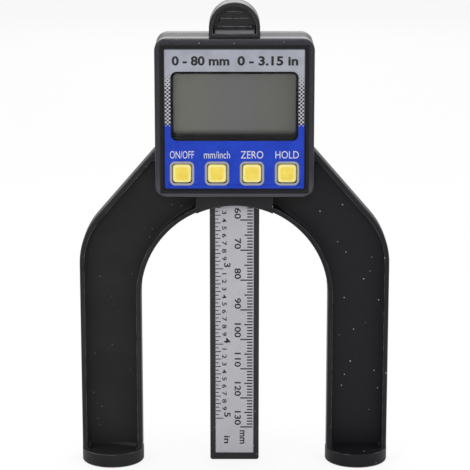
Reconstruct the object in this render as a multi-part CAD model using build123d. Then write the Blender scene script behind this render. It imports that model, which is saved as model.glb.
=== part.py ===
from build123d import *
import math
import os

# Table saw height gauge, in millimetres. X runs across it, Y from front to back, Z upwards.
# The origin is the middle of the rule's tip, on the surface that the gauge stands on.

# Arch frame
frame_width = 100.0
frame_depth = 8.8
aperture_width = 60.6
spring_height = 56.4
crown_height = 3.9
shoulder_angle = 41.0
shoulder_rise = 14.4
shoulder_radius = 24.0
rim_wall = 1.6
rim_round = 1.0
channel_floor = 2.0
channel_corner = 0.8
block_width = 24.6
block_proud = 1.0
foot_proud = 0.3
foot_height = 4.5
foot_edge = 0.3
magnet_diameter = 12.0
magnet_thickness = 3.0
magnet_sink = 0.15

# Head, made of a front case, the middle of the frame and a back case
head_width = 50.2
head_height = 50.4
head_corner = 3.8
front_case_depth = 6.1
back_case_depth = 5.1
case_wall = 1.6
face_wall = 1.5
edge_round = 0.9
seam_chamfer = 0.2
screw_diameter = 2.0
screw_inset = 2.7
screw_bite = 3.2
screw_head_diameter = 3.8
screw_head_height = 1.3
boss_wall = 1.3

# Label, window and display
bezel_side = 2.6
bezel_top = 2.9
bezel_bottom = 2.2
label_recess = 0.5
label_thickness = 0.3
label_corner = 1.2
label_gap = 0.2
window_side = 2.4
window_drop = 7.5
window_rise = 15.8
window_corner = 2.0
view_side = 0.8
view_top = 0.9
view_bottom = 1.85
view_corner = 1.2
lens_thickness = 0.9
gasket_thickness = 0.3
display_thickness = 2.4
display_overlap = 0.7
display_ledge = 2.0
well_wall = 0.8
zebra_width = 1.8
zebra_inset = 2.8

# Buttons
button_size = 6.0
button_corner = 1.0
button_bevel = 0.45
button_inset = 5.91
button_rise = 5.4
button_stand = 0.4
button_travel = 0.5
button_side_gap = 0.15
flange_lip = 0.8
flange_thickness = 0.8
stem_diameter = 3.2
stem_length = 0.6
collar_width = 0.7
collar_height = 0.15
switch_size = 6.0
plunger_diameter = 3.5
plunger_height = 0.6

# Circuit board
board_thickness = 1.0
board_air = 0.2
pocket_margin = 3.6
chip_width = 7.0
chip_height = 1.2
chip_round = 0.5
board_screw_inset = 4.0
board_screw_rise = 10.4
board_screw_length = 2.6

# Button cell, its contacts and its sliding cover
cell_diameter = 11.6
cell_height = 5.4
cell_step = 0.5
cell_lift = 4.2
cell_side_gap = 0.25
contact_thickness = 0.25
contact_width = 3.0
contact_lift = 1.1
cover_thickness = 1.6
cover_height = 16.0
cover_overlap = 1.5
tongue_width = 0.8
tongue_share = 0.5
grip_count = 4
grip_width = 0.6
grip_depth = 0.35
grip_pitch = 1.5
grip_length_share = 0.6

# Rule and its finger tab
rule_width = 16.0
rule_thickness = 3.0
rule_side_gap = 0.15
tip_corner = 0.8
rule_border = 1.75
border_end = 2.3
strip_thickness = 0.55
plate_thickness = 0.2
plate_sink = 0.15
tab_rise = 3.2
tab_reach = 8.1
tab_wall = 1.15
tab_lip = 1.25
tab_back = 1.6
tab_round = 0.4
tab_window = 0.7
ridge_height = 0.6
ridge_proud = 0.6
ridge_bevel = 0.25
ridge_place_shares = (0.18, 0.48, 0.73)
ridge_width_shares = (0.80, 0.66, 0.40)
tab_screw_spread = 5.0
tab_screw_bite = 1.2

# Side spring of the rule's slide
gib_length = 24.0
gib_width = 2.2
gib_thickness = 0.25
gib_depth = 0.7

# Lock screw
lock_rise = 13.0
lock_diameter = 4.0
lock_pad_length = 1.6
lock_pad_gap = 0.25
insert_diameter = 6.0
insert_wall = 1.8
knob_diameter = 12.0
knob_length = 6.5
knob_gap = 0.8
knob_collar = 0.8
knob_bevel = 0.7
flute_count = 10
flute_diameter = 2.4
stud_end = 1.5

# Running fits and the overrun of a cut
slide_gap = 0.05
side_fit = 0.1
cut = 1.0

# Places that follow from the sizes
frame_half = frame_width / 2
head_half = head_width / 2
rule_half = rule_width / 2
arch_radius = aperture_width / 2
head_bottom = spring_height + arch_radius + crown_height
head_top = head_bottom + head_height
head_middle = (head_bottom + head_top) / 2
foot_x = (frame_half + arch_radius) / 2
foot_radius = (frame_half - arch_radius) / 2 + foot_proud

frame_front = -frame_depth / 2
frame_back = frame_depth / 2
face_y = frame_front - front_case_depth
back_y = frame_back + back_case_depth
label_front = face_y + label_recess
label_seat = label_front + label_thickness
face_inner = label_seat + face_wall
lens_back = label_seat + lens_thickness
display_front = face_inner + gasket_thickness
display_back = display_front + display_thickness
rule_front = -rule_thickness / 2
rule_back = rule_thickness / 2
board_back = rule_front - board_air
board_front = board_back - board_thickness

label_width = head_width - 2 * bezel_side
label_bottom = head_bottom + bezel_bottom
label_top = head_top - bezel_top
window_width = label_width - 2 * window_side
window_top = label_top - window_drop
window_bottom = label_bottom + window_rise
window_height = window_top - window_bottom
window_middle = (window_top + window_bottom) / 2
view_width = window_width - 2 * view_side
view_height = window_height - view_top - view_bottom
view_middle = window_bottom + view_bottom + view_height / 2
zebra_length = window_width + 2 * (display_overlap - zebra_inset)
button_z = label_bottom + button_rise
button_names = ("button_on_off", "button_unit", "button_zero", "button_hold")
button_pitch = (label_width - 2 * button_inset) / (len(button_names) - 1)
button_places = [button_inset - label_width / 2 + button_pitch * index
                 for index in range(len(button_names))]

screw_spread_x = head_half - screw_inset
screw_spread_z = head_height / 2 - screw_inset
screw_places = [(x, head_middle + z) for x in (-screw_spread_x, screw_spread_x)
                for z in (-screw_spread_z, screw_spread_z)]
boss_radius = screw_diameter / 2 + boss_wall
pocket_width = head_width - 2 * pocket_margin
pocket_height = head_height - 2 * pocket_margin
board_width = pocket_width - 2 * side_fit
board_screw_x = board_width / 2 - board_screw_inset
board_screw_places = [(side * board_screw_x, head_middle - pocket_height / 2 + board_screw_rise)
                      for side in (-1, 1)]

channel_half = rule_half + rule_side_gap
channel_back = rule_back + side_fit
cell_x = (channel_half + head_half) / 2
cell_z = head_middle + cell_lift
cover_inner = back_y - cover_thickness
cell_back = cover_inner - side_fit
cell_front = cell_back - cell_height
cell_floor = cell_front - contact_lift
cell_well = cell_diameter / 2 + cell_side_gap
cover_left = cell_x - cell_diameter / 2 - cover_overlap
tongue_back = cover_inner + cover_thickness * tongue_share

tab_centre = head_top + tab_rise
tab_bottom = head_top + slide_gap
tab_floor = rule_front - tab_back
tab_front = tab_floor - tab_reach + tab_back
plate_bottom = border_end
plate_top = tab_bottom + tab_lip + tab_window
plate_width = rule_width - 2 * rule_border
plate_front = rule_front + plate_sink
strip_front = plate_front + plate_thickness
strip_back = strip_front + strip_thickness

lock_z = head_bottom + lock_rise
pad_front = rule_back + lock_pad_gap
pad_back = pad_front + lock_pad_length
stud_radius = lock_diameter / 2 - slide_gap
knob_front = back_y + knob_gap
knob_back = knob_front + knob_length


def slab(face, front, back):
    """Give a face, drawn in X and Z, the depth between two places on Y."""
    return Pos(0, back, 0) * extrude(Plane.XZ * face, amount=back - front)


def panel(width, height, x, z, corner=0.0):
    """A rectangle seen from the front, with round corners where a radius is given."""
    if corner > 0:
        return Pos(x, z) * RectangleRounded(width, height, corner)
    return Pos(x, z) * Rectangle(width, height)


def pin(diameter, front, back, x, z):
    """A round bar along Y."""
    return slab(Pos(x, z) * Circle(diameter / 2), front, back)


def pins(diameter, front, back, places):
    """Round bars along Y at a list of places."""
    return [pin(diameter, front, back, x, z) for x, z in places]


def outer_edges(solid, depth):
    """The edges that lie in the plane at one depth."""
    return solid.edges().filter_by_position(Axis.Y, depth, depth)


# Frame: one black moulding, an arch on two channelled legs with round feet.

def frame_outline(inset):
    """The frame's outer line: straight legs, round knees and shoulders that slope to the head."""
    slope = math.tan(math.radians(shoulder_angle))
    knee_z = head_bottom + shoulder_rise - (frame_half - head_half) / slope
    top_x = head_half - screw_inset
    top_z = head_bottom + shoulder_rise + screw_inset / slope
    points = [(-frame_half, 0), (-frame_half, knee_z), (-top_x, top_z),
              (top_x, top_z), (frame_half, knee_z), (frame_half, 0)]
    face = make_face(Polyline(*points, close=True))
    knees = [v for v in face.vertices() if abs(v.Y - knee_z) < cut]
    face = fillet(knees, shoulder_radius)
    if inset > 0:
        face = offset(face, amount=-inset)
    return face


def arch_gap(wall):
    """The opening between the legs, made wider by a wall."""
    radius = arch_radius + wall
    return Pos(0, spring_height) * Circle(radius) + panel(
        2 * radius, spring_height + cut, 0, (spring_height - cut) / 2)


def arch_body():
    """The arch down to its feet with its long edges rounded, before its channels are cut."""
    face = frame_outline(0) - arch_gap(0) - panel(frame_width, foot_height, 0, foot_height / 2)
    body = slab(face, frame_front, frame_back)
    long_edges = [edge for depth in (frame_front, frame_back)
                  for edge in outer_edges(body, depth)
                  if edge.center().Z > foot_height + slide_gap]
    return fillet(long_edges, rim_round)


def leg_channels():
    """The two open channels that follow the legs and the shoulders."""
    hollow = frame_outline(rim_wall) - arch_gap(rim_wall)
    hollow -= panel(block_width, head_top, 0, head_top / 2)
    hollow -= panel(head_width, head_height, 0, head_middle)
    hollow -= panel(frame_width, foot_height, 0, foot_height / 2)
    sharp_z = (foot_height, head_bottom)
    sharp_x = (block_width / 2, head_half)
    corners = [v for v in hollow.vertices()
               if min(abs(v.Y - z) for z in sharp_z) < slide_gap
               or min(abs(abs(v.X) - x) for x in sharp_x) < slide_gap]
    hollow = fillet(corners, channel_corner)
    return slab(hollow, frame_front - block_proud - cut, frame_back - channel_floor)


def feet():
    """The round feet, each with a pocket for its magnet."""
    solids = []
    for side in (-1, 1):
        foot = Pos(side * foot_x, 0, foot_height / 2) * Cylinder(foot_radius, foot_height)
        solids.append(chamfer(foot.edges().group_by(Axis.Z)[0], foot_edge))
    return solids


def magnet(side, gap):
    """A disc magnet in a foot's sole, or its pocket when a gap is given."""
    height = magnet_thickness + (magnet_sink if gap > 0 else 0)
    base = 0 if gap > 0 else magnet_sink
    return Pos(side * foot_x, 0, base + height / 2) * Cylinder(
        magnet_diameter / 2 + gap, height)


def head_outline(inset):
    """The head's square outline with round corners."""
    return panel(head_width - 2 * inset, head_height - 2 * inset, 0, head_middle,
                 head_corner - inset)


def board_outline(gap):
    """The board's outline, notched round the corner bosses, smaller by a gap."""
    face = panel(pocket_width - 2 * gap, pocket_height - 2 * gap, 0, head_middle)
    for x, z in screw_places:
        face -= Pos(x, z) * Circle(boss_radius + gap)
    return face


def make_frame():
    """The frame with its slide channel, electronics pocket, battery well and lock hole."""
    block = slab(panel(block_width, head_bottom - spring_height, 0,
                       (head_bottom + spring_height) / 2) - arch_gap(0),
                 frame_front - block_proud, frame_back)
    body = arch_body() + block + feet()
    body += slab(head_outline(0), frame_front, frame_back)
    body -= leg_channels()
    body -= [magnet(side, side_fit) for side in (-1, 1)]
    body -= slab(board_outline(0), frame_front - cut, board_back)
    body -= slab(panel(2 * channel_half, head_top + cut - spring_height, 0,
                       (head_top + cut + spring_height) / 2), board_back, channel_back)
    body -= slab(panel(gib_depth, gib_length, -channel_half - gib_depth / 2, head_middle),
                 -gib_width / 2 - side_fit, gib_width / 2 + side_fit)
    body -= pin(2 * cell_well, cell_floor, frame_back + cut, cell_x, cell_z)
    body -= contact_slots()
    body -= pin(lock_diameter + 2 * side_fit, 0, frame_back + cut, 0, lock_z)
    body -= pins(screw_diameter + 2 * side_fit, frame_front - cut, frame_back + cut, screw_places)
    body -= pins(screw_diameter, board_back - cut, board_back + board_screw_length,
                 board_screw_places)
    return body


# Head cases: two shells that clamp the middle of the frame.

def boss_faces():
    """The four corner bosses of a case, seen from the front."""
    return [Pos(x, z) * Circle(boss_radius) for x, z in screw_places]


def make_front_case():
    """The front case with its sunk face, window seat, button holes and display well."""
    case = slab(head_outline(0), face_y, frame_front)
    case = fillet(outer_edges(case, face_y), edge_round)
    case = chamfer(outer_edges(case, frame_front), seam_chamfer)
    case -= slab(panel(label_width, label_top - label_bottom, 0, (label_top + label_bottom) / 2,
                       label_corner), face_y - cut, label_seat)
    case -= slab(head_outline(case_wall), face_inner, frame_front + cut)
    case += [slab(boss & head_outline(case_wall / 2), face_inner, frame_front)
             for boss in boss_faces()]
    case += display_well()
    case -= slab(panel(window_width, window_height, 0, window_middle, window_corner),
                 face_y, lens_back)
    case -= slab(panel(view_width, view_height, 0, view_middle, view_corner),
                 face_y, face_inner + cut)
    hole = button_size + 2 * button_side_gap
    for x in button_places:
        case -= slab(panel(hole, hole, x, button_z, button_corner), face_y, face_inner + cut)
    case -= pins(screw_diameter, face_inner, frame_front + cut, screw_places)
    return case


def display_outline(grow):
    """The display glass seen from the front, made larger by an amount."""
    return panel(window_width + 2 * (display_overlap + grow),
                 window_height + 2 * (display_overlap + grow), 0, window_middle)


def display_well():
    """The low wall inside the front case that holds the display in place."""
    return slab(display_outline(side_fit + well_wall) - display_outline(side_fit),
                face_inner, display_back)


def cover_plate(gap):
    """The battery cover's plate and its two tongues, or the way it slides in."""
    right = head_half + (cut if gap > 0 else -side_fit)
    left = cover_left - gap
    middle = (left + right) / 2
    plate = slab(panel(right - left, cover_height + 2 * gap, middle, cell_z),
                 cover_inner - gap, back_y + (cut if gap > 0 else 0))
    wide = cover_height + 2 * (tongue_width + gap)
    tongues = slab(panel(right - left, wide, middle, cell_z), cover_inner - gap, tongue_back + gap)
    return plate + tongues


def make_back_case():
    """The back case with the cell's block, the lock boss and the cover's runners."""
    case = slab(head_outline(0), frame_back, back_y)
    case = fillet(outer_edges(case, back_y), edge_round)
    case = chamfer(outer_edges(case, frame_back), seam_chamfer)
    case -= slab(head_outline(case_wall), frame_back - cut, back_y - face_wall)
    block_height = cover_height + 2 * (tongue_width + case_wall)
    block_left = cover_left - case_wall
    block_right = head_half - case_wall / 2
    case += slab(panel(block_right - block_left, block_height, (block_right + block_left) / 2,
                       cell_z), frame_back, back_y - face_wall)
    case += pin(insert_diameter + 2 * insert_wall, frame_back, back_y - face_wall, 0, lock_z)
    case += [slab(boss & head_outline(case_wall / 2), frame_back, back_y - face_wall)
             for boss in boss_faces()]
    case -= cover_plate(slide_gap)
    case -= pin(2 * cell_well, frame_back - cut, back_y, cell_x, cell_z)
    case -= contact_slots()
    case -= pin(insert_diameter, frame_back - cut, back_y + cut, 0, lock_z)
    case -= pins(screw_diameter + 2 * side_fit, frame_back - cut, back_y + cut, screw_places)
    case -= pins(screw_head_diameter + 2 * side_fit, back_y - screw_head_height - side_fit,
                 back_y + cut, screw_places)
    return case


def screws(head_back, head_front, shank_front, places):
    """Pan-head screws that point to the front."""
    solids = []
    for x, z in places:
        screw = pin(screw_head_diameter, head_front, head_back, x, z)
        screw += pin(screw_diameter, shank_front, head_front, x, z)
        solids.append(screw)
    return solids


def make_housing_screws():
    """The four screws that hold both cases to the frame."""
    head_back = back_y - side_fit
    return screws(head_back, head_back - screw_head_height, frame_front - screw_bite,
                  screw_places)


# Label, window and display, in the order that they are laid in.

def make_label():
    """The printed face sheet, with a raised collar round each button."""
    hole = button_size + 2 * button_side_gap
    collar = hole + 2 * collar_width
    sheet = panel(label_width - 2 * label_gap, label_top - label_bottom - 2 * label_gap, 0,
                  (label_top + label_bottom) / 2, label_corner - label_gap)
    sheet -= panel(window_width, window_height, 0, window_middle, window_corner)
    rings = []
    for x in button_places:
        opening = panel(hole, hole, x, button_z, button_corner)
        sheet -= opening
        ring = panel(collar, collar, x, button_z, button_corner + collar_width) - opening
        rings.append(slab(ring, label_front - collar_height, label_front))
    return slab(sheet, label_front, label_seat) + rings


def make_window():
    """The clear pane in its seat."""
    return slab(panel(window_width - side_fit, window_height - side_fit, 0, window_middle,
                      window_corner - side_fit), label_seat, lens_back)


def make_gasket():
    """The thin black frame between the case and the display."""
    ring = display_outline(0) - panel(view_width, view_height, 0, view_middle, view_corner)
    return slab(ring, face_inner, display_front)


def make_display():
    """The display: a front glass on a taller back glass, whose ledges carry the contacts."""
    front_glass = slab(display_outline(0) & panel(
        window_width + 2 * display_overlap, window_height + 2 * display_overlap - display_ledge,
        0, window_middle + display_ledge / 2), display_front, display_front + display_thickness / 2)
    back_glass = slab(display_outline(0), display_front + display_thickness / 2, display_back)
    return front_glass + back_glass


def make_zebra_strips():
    """The two rubber strips that join the display to the board."""
    reach = window_height / 2 + display_overlap - zebra_width / 2
    return [slab(panel(zebra_length, zebra_width, 0, window_middle + side * reach),
                 display_back, board_front) for side in (-1, 1)]


# Circuit board and what is on it.

def make_board():
    """The circuit board, whose back reads the strip in the rule."""
    board = slab(board_outline(side_fit), board_front, board_back)
    return board - pins(screw_diameter + side_fit, board_front - cut, board_back + cut,
                        board_screw_places)


def make_chip():
    """The moulded measuring chip on the front of the board."""
    chip = slab(panel(chip_width, chip_width, 0, window_middle), board_front - chip_height,
                board_front)
    return chamfer(outer_edges(chip, board_front - chip_height), chip_round)


def make_board_screws():
    """The two short screws that hold the board; their heads lie on its front."""
    solids = []
    for x, z in board_screw_places:
        screw = pin(screw_head_diameter, board_front - screw_head_height / 2, board_front, x, z)
        screw += pin(screw_diameter, board_front, board_back + board_screw_length - side_fit, x, z)
        solids.append(screw)
    return solids


# Buttons: a cap in the case's hole, with a flange that keeps it in and a stem for its switch.

flange_front = face_inner + slide_gap
flange_back = flange_front + flange_thickness
stem_back = flange_back + stem_length
plunger_front = stem_back + button_travel + slide_gap


def make_button(x):
    """One square button cap."""
    cap = slab(panel(button_size, button_size, x, button_z, button_corner),
               label_front - button_stand, flange_front)
    cap = chamfer(outer_edges(cap, label_front - button_stand), button_bevel)
    flange_size = button_size + 2 * flange_lip
    flange = slab(panel(flange_size, flange_size, x, button_z), flange_front, flange_back)
    return cap + flange + pin(stem_diameter, flange_back, stem_back, x, button_z)


def make_switches():
    """The four push switches on the board."""
    solids = []
    for x in button_places:
        base_front = plunger_front + plunger_height
        base = slab(panel(switch_size, switch_size, x, button_z), base_front, board_front)
        solids.append(base + pin(plunger_diameter, plunger_front, base_front, x, button_z))
    return solids


# Button cell, its two contacts and its cover.

def contact_slots():
    """The slots that let the two contacts through to the board."""
    plus_x = cell_x - cell_diameter / 2 - contact_thickness / 2
    minus_x = cell_x + cell_diameter / 4 + contact_thickness / 2
    width = contact_width + 2 * side_fit
    plus = slab(panel(contact_thickness + 2 * side_fit, width, plus_x, cell_z),
                board_back - cut, cell_back - cell_height / 4 + side_fit)
    minus = slab(panel(contact_thickness + 2 * side_fit, width, minus_x, cell_z),
                 board_back - cut, cell_floor + cut)
    return [plus, minus]


def make_cell():
    """The button cell: a can with a smaller cap at its front."""
    can = pin(cell_diameter, cell_front + cell_step, cell_back, cell_x, cell_z)
    return can + pin(cell_diameter - 2 * cell_step, cell_front, cell_front + cell_step,
                     cell_x, cell_z)


def make_plus_contact():
    """The flat contact that lies along the side of the cell."""
    plus_x = cell_x - cell_diameter / 2 - contact_thickness / 2
    return slab(panel(contact_thickness, contact_width, plus_x, cell_z), board_back,
                cell_back - cell_height / 4)


def make_minus_contact():
    """The bent leaf under the cell, with its tail down to the board."""
    tail_x = cell_x + cell_diameter / 4
    heel_x = cell_x - cell_diameter / 4
    foot = Pos((tail_x + heel_x) / 2, cell_floor + contact_thickness / 2, cell_z) * Box(
        tail_x - heel_x, contact_thickness, contact_width)
    tail = Pos(tail_x + contact_thickness / 2, (cell_floor + contact_thickness + board_back) / 2,
               cell_z) * Box(contact_thickness, cell_floor + contact_thickness - board_back,
                             contact_width)
    low = cell_floor + contact_thickness
    bow = make_face(Polyline((heel_x, low), (heel_x + contact_thickness, low),
                             (cell_x + contact_thickness, cell_front - contact_thickness),
                             (tail_x - contact_width / 2, cell_front - contact_thickness),
                             (tail_x - contact_width / 2, cell_front), (cell_x, cell_front),
                             close=True))
    leaf = Pos(0, 0, cell_z - contact_width / 2) * extrude(bow, amount=contact_width)
    return foot + tail + leaf


def make_battery_cover():
    """The sliding cover, rounded at its end like the case, with tongues and finger grooves."""
    cover = cover_plate(0)
    end = [edge for edge in outer_edges(cover, back_y) if edge.center().X > head_half - cut]
    cover = fillet(end, edge_round - 2 * side_fit)
    grip_x = head_half - side_fit - grip_pitch
    for index in range(grip_count):
        groove = panel(grip_width, cover_height * grip_length_share,
                       grip_x - index * grip_pitch, cell_z)
        cover -= slab(groove, back_y - grip_depth, back_y + cut)
    return cover


# Rule: a flat bar with a sunk front that holds the measuring strip and the printed plate.

def rule_face(width, bottom, top, inset):
    """The bar's outline, with a half round top end where the tab is fixed."""
    radius = width / 2 - inset
    bar = panel(2 * radius, top - bottom, 0, (top + bottom) / 2)
    room = panel(2 * radius, top + radius - bottom, 0, (top + radius + bottom) / 2)
    return bar + (Pos(0, top) * Circle(radius) & room)


def make_rule_beam():
    """The bar that slides in the frame."""
    outline = rule_face(rule_width, 0, tab_centre, 0)
    tip = [v for v in outline.vertices() if abs(v.Y) < tip_corner]
    beam = slab(fillet(tip, tip_corner), rule_front, rule_back)
    sunk = panel(plate_width, plate_top - plate_bottom, 0, (plate_top + plate_bottom) / 2)
    beam -= slab(sunk, rule_front - cut, strip_back)
    return beam - pins(screw_diameter + side_fit, tab_floor, rule_back + cut, tab_screw_places)


def make_scale_strip():
    """The measuring strip under the plate."""
    return slab(panel(plate_width - side_fit, plate_top - plate_bottom - side_fit, 0,
                      (plate_top + plate_bottom) / 2), strip_front, strip_back)


def make_scale_plate():
    """The printed plate that carries the graduations."""
    return slab(panel(plate_width - side_fit, plate_top - plate_bottom - side_fit, 0,
                      (plate_top + plate_bottom) / 2), plate_front, strip_front)


tab_screw_places = [(side * tab_screw_spread / 2, tab_centre + tab_rise / 2) for side in (-1, 1)]


def make_finger_tab():
    """The hooded tab that lifts the rule; behind its low lip the hood is open to the plate's end."""
    tab = slab(rule_face(rule_width, tab_bottom, tab_centre, 0), tab_front, rule_front)
    tab = fillet(outer_edges(tab, tab_front), tab_round)
    hollow = rule_face(rule_width, tab_bottom + tab_lip, tab_centre, tab_wall)
    tab -= slab(hollow, tab_front - cut, tab_floor)
    hollow_width = rule_width - 2 * tab_wall
    tab -= slab(panel(hollow_width, tab_lip + 2 * cut, 0, tab_bottom + tab_lip / 2),
                tab_front + tab_wall, tab_floor)
    tab -= slab(panel(plate_width, plate_top - tab_bottom + cut, 0,
                      (plate_top + tab_bottom - cut) / 2), tab_floor - cut, rule_front + cut)
    hollow_height = tab_rise + rule_half - tab_lip - tab_wall
    for place, width in zip(ridge_place_shares, ridge_width_shares):
        z = tab_bottom + tab_lip + place * hollow_height
        bar = slab(panel(width * hollow_width, ridge_height, 0, z), tab_floor - ridge_proud,
                   tab_floor)
        tab += chamfer(outer_edges(bar, tab_floor - ridge_proud), ridge_bevel)
    return tab - pins(screw_diameter, rule_front - tab_screw_bite, rule_front + cut,
                      tab_screw_places)


def make_tab_screws():
    """The two screws that hold the tab to the bar from behind."""
    return screws(rule_back + screw_head_height / 2, rule_back,
                  rule_front - tab_screw_bite + side_fit, tab_screw_places)


def make_gib_spring():
    """The bowed leaf that takes up the rule's side play."""
    seat_x = -channel_half - gib_depth
    crest_x = -rule_half - slide_gap
    half = gib_length / 2 - side_fit
    outer = ThreePointArc((seat_x, head_middle - half), (crest_x - gib_thickness, head_middle),
                          (seat_x, head_middle + half))
    inner = ThreePointArc((seat_x + gib_thickness, head_middle + half), (crest_x, head_middle),
                          (seat_x + gib_thickness, head_middle - half))
    ends = [Line(outer @ 1, inner @ 0), Line(inner @ 1, outer @ 0)]
    return slab(make_face([outer, ends[0], inner, ends[1]]), -gib_width / 2, gib_width / 2)


# Lock: a knob on a stud that pushes a soft pad against the rule.

def make_lock_insert():
    """The threaded brass bush in the back case."""
    bush = pin(insert_diameter, frame_back, back_y, 0, lock_z)
    return bush - pin(lock_diameter, frame_back - cut, back_y + cut, 0, lock_z)


def make_lock_pad():
    """The soft pad that meets the rule."""
    return pin(lock_diameter, pad_front, pad_back, 0, lock_z)


def make_lock_stud():
    """The steel stud that is moulded into the knob."""
    return pin(2 * stud_radius, pad_back, knob_back - stud_end, 0, lock_z)


def make_lock_knob():
    """The fluted knob, with a low collar towards the case."""
    face = Pos(0, lock_z) * Circle(knob_diameter / 2)
    knob = slab(face, knob_front + knob_collar, knob_back)
    knob = chamfer(outer_edges(knob, knob_back), knob_bevel)
    flutes = [loc * Circle(flute_diameter / 2) for loc in
              PolarLocations(knob_diameter / 2 + flute_diameter / 4, flute_count)]
    for flute in flutes:
        knob -= slab(Pos(0, lock_z) * flute, knob_front, knob_back + cut)
    collar_diameter = insert_diameter + insert_wall
    knob += pin(collar_diameter, knob_front, knob_front + knob_collar, 0, lock_z)
    return knob - pin(2 * stud_radius, knob_front - cut, knob_back - stud_end, 0, lock_z)


def make_magnets():
    """The two disc magnets in the soles."""
    return [magnet(side, 0) for side in (-1, 1)]


pieces = {
    "frame": make_frame(),
    "foot_magnets": make_magnets(),
    "front_case": make_front_case(),
    "back_case": make_back_case(),
    "housing_screws": make_housing_screws(),
    "label_sheet": make_label(),
    "window_pane": make_window(),
    "display_gasket": make_gasket(),
    "display_glass": make_display(),
    "zebra_strips": make_zebra_strips(),
    "circuit_board": make_board(),
    "measuring_chip": make_chip(),
    "board_screws": make_board_screws(),
    "button_switches": make_switches(),
    "button_cell": make_cell(),
    "cell_contact_plus": make_plus_contact(),
    "cell_contact_minus": make_minus_contact(),
    "battery_cover": make_battery_cover(),
    "rule_beam": make_rule_beam(),
    "scale_strip": make_scale_strip(),
    "scale_plate": make_scale_plate(),
    "finger_tab": make_finger_tab(),
    "tab_screws": make_tab_screws(),
    "gib_spring": make_gib_spring(),
    "lock_insert": make_lock_insert(),
    "lock_pad": make_lock_pad(),
    "lock_stud": make_lock_stud(),
    "lock_knob": make_lock_knob(),
}
for name, x in zip(button_names, button_places):
    pieces[name] = make_button(x)

os.makedirs("parts", exist_ok=True)
for name, piece in pieces.items():
    solids = piece if isinstance(piece, list) else piece.solids()
    export_step(Compound(children=[s for item in solids for s in item.solids()]),
                f"parts/{name}.step")
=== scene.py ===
import math

import bmesh
import bpy
from mathutils import Color, Matrix, Vector


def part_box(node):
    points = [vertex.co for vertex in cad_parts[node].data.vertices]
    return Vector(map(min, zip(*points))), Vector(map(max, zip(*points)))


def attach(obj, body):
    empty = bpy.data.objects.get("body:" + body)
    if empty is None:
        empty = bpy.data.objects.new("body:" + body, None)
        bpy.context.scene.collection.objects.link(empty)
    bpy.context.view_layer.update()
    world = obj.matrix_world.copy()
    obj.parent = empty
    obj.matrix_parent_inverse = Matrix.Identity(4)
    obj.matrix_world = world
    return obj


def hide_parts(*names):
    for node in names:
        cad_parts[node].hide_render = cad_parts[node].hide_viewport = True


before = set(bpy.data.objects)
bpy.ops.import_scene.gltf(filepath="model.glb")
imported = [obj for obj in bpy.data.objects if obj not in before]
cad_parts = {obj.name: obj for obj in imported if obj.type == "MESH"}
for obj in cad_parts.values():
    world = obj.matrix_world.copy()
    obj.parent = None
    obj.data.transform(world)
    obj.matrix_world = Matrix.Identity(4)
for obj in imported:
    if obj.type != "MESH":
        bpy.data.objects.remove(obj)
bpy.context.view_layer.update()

mm = 0.001
scene = bpy.context.scene
scene.view_settings.view_transform = "Standard"


# Studio: a pale floor in a white room. The camera stands where the photograph was taken from,
# 0.64 m away and 13 degrees above level, with soft square lamps overhead and on all four sides.

camera_eye = (0.0, -0.6236, 0.2199)
camera_tilt = math.radians(77.0)
camera_lens = 151.5
sensor_width = 36.0
picture_width = 470
axis_shift = 0.5
lamp_aim = Vector((0.0, 0.0, 0.08))
lamps = {
    "overhead_lamp": {"place": (0.0, 0.05, 0.95), "side": 0.40, "watts": 3.4},
    "front_lamp": {"place": (-0.05, -0.98, 0.50), "side": 0.25, "watts": 2.2},
    "left_lamp": {"place": (-0.75, -0.75, 0.55), "side": 0.40, "watts": 1.0},
    "right_lamp": {"place": (0.80, -0.60, 0.50), "side": 0.40, "watts": 0.7},
    "back_lamp": {"place": (0.0, 1.10, 0.46), "side": 0.50, "watts": 0.9},
}
room_white = (1.0, 1.0, 1.0, 1.0)
room_light = 0.60
floor_half = 5.0
floor_drop = 0.03 * mm
floor_white = (0.92, 0.92, 0.92, 1.0)
glow_share = 0.8
glow_strength = 1.02


class Signal:
    """One output of a node tree; sums, products and comparisons add their own Math nodes."""

    def __init__(self, nodes, socket):
        self.nodes = nodes
        self.socket = socket

    def reckon(self, operation, *values):
        """Add one Math node that works on some values."""
        return self.nodes.node("ShaderNodeMath", {"operation": operation}, dict(enumerate(values)))

    def __add__(self, other):
        return self.reckon("ADD", self, other)

    __radd__ = __add__

    def __sub__(self, other):
        return self.reckon("SUBTRACT", self, other)

    def __rsub__(self, other):
        return self.reckon("SUBTRACT", other, self)

    def __mul__(self, other):
        return self.reckon("MULTIPLY", self, other)

    __rmul__ = __mul__

    def __truediv__(self, other):
        return self.reckon("DIVIDE", self, other)

    def __mod__(self, other):
        return self.reckon("FLOORED_MODULO", self, other)

    def __gt__(self, other):
        return self.reckon("GREATER_THAN", self, other)

    def __lt__(self, other):
        return self.reckon("LESS_THAN", self, other)

    def __abs__(self):
        return self.reckon("ABSOLUTE", self)

    def wave(self, length):
        """A cosine wave of that length."""
        return self.reckon("COSINE", self * (math.tau / length))

    def rise(self, low, high):
        """A soft step from 0 at low to 1 at high."""
        return self.nodes.node("ShaderNodeMapRange", {"interpolation_type": "SMOOTHSTEP"},
                               {"Value": self, "From Min": low, "From Max": high})


class Nodes:
    """A node tree that is written as plain calls."""

    def __init__(self, tree):
        self.tree = tree

    def node(self, kind, settings, sockets, output=0):
        """Add a node, set it up, then fill its sockets with values or links; a list links several
        signals to one socket."""
        made = self.tree.nodes.new(kind)
        for name, value in settings.items():
            setattr(made, name, value)
        for name, value in sockets.items():
            for part in value if isinstance(value, list) else [value]:
                if isinstance(part, Signal):
                    self.tree.links.new(part.socket, made.inputs[name])
                else:
                    made.inputs[name].default_value = part
        return Signal(self, made.outputs[output]) if made.outputs else None


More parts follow.
